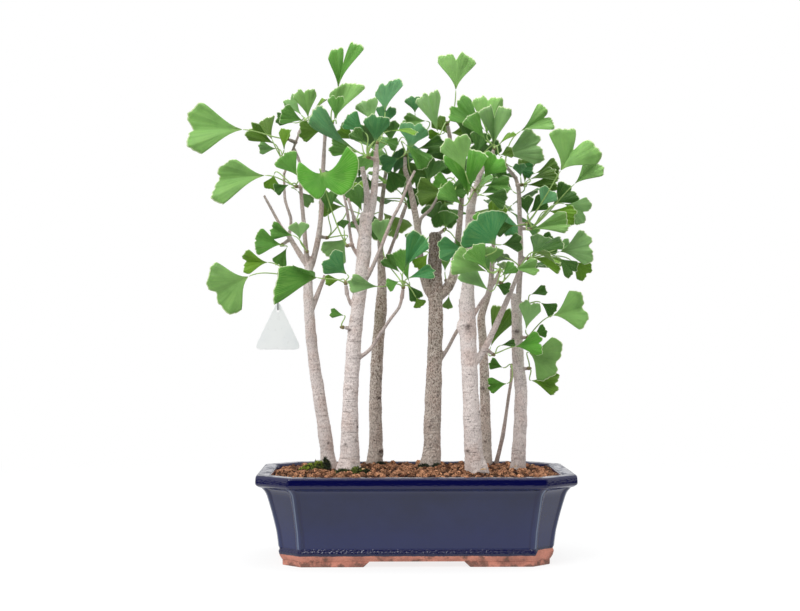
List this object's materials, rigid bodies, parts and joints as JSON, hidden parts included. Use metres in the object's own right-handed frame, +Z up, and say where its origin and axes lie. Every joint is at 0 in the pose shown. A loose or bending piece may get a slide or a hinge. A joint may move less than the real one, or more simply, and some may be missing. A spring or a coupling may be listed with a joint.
{
  "type": "ginkgo bonsai",
  "caption": "Group planting of slender ginkgo stems with fan-shaped leaves in a shallow eight-sided blue glazed pot, with a blank hanging tag.",
  "frame": {"origin": "middle of the whole part's plan, crown and pot, on the surface that the pot's feet stand on; the pot's own middle is at x = 0.017, y = -0.006", "axes": "+Z up along the stems, +X to the right along the pot's long side, -Y towards the viewer of its front"},
  "size_m": [0.4231, 0.2104, 0.5152],
  "materials": {
    "pot_glaze": "gloss",
    "pot_clay": "matte",
    "soil": "matte",
    "moss": "matte",
    "bark": "matte",
    "leaf": "satin",
    "tag": "gloss",
    "tag_tie": "satin",
    "drain_mesh": "matte"
  },
  "bodies": {
    "root": {"drain_mesh_left": "drain_mesh", "drain_mesh_right": "drain_mesh", "pot": "pot_glaze", "soil": "soil", "spray_a1": "leaf", "spray_a2": "leaf", "spray_a3": "leaf", "spray_a4": "leaf", "spray_a5": "leaf", "spray_a6": "leaf", "spray_a7": "leaf", "spray_a8": "leaf", "spray_a9": "leaf", "spray_b1": "leaf", "spray_b2": "leaf", "spray_b3": "leaf", "spray_b4": "leaf", "spray_b5": "leaf", "spray_b6": "leaf", "spray_b7": "leaf", "spray_c1": "leaf", "spray_c2": "leaf", "spray_c3": "leaf", "spray_c4": "leaf", "spray_d1": "leaf", "spray_d2": "leaf", "spray_d3": "leaf", "spray_d4": "leaf", "spray_d5": "leaf", "spray_d6": "leaf", "spray_d7": "leaf", "spray_e1": "leaf", "spray_e2": "leaf", "spray_e3": "leaf", "spray_e4": "leaf", "spray_e5": "leaf", "spray_e6": "leaf", "spray_e7": "leaf", "spray_f1": "leaf", "spray_f2": "leaf", "spray_g1": "leaf", "spray_h1": "leaf", "spray_h2": "leaf", "spray_h3": "leaf", "spray_h4": "leaf", "spray_h5": "leaf", "spray_h6": "leaf", "spray_h7": "leaf", "spray_h8": "leaf", "stem_a": "bark", "stem_b": "bark", "stem_c": "bark", "stem_d": "bark", "stem_e": "bark", "stem_f": "bark", "stem_g": "bark", "stem_h": "bark", "tag": "tag", "tag_tie": "tag_tie"}
  },
  "joints": []
}
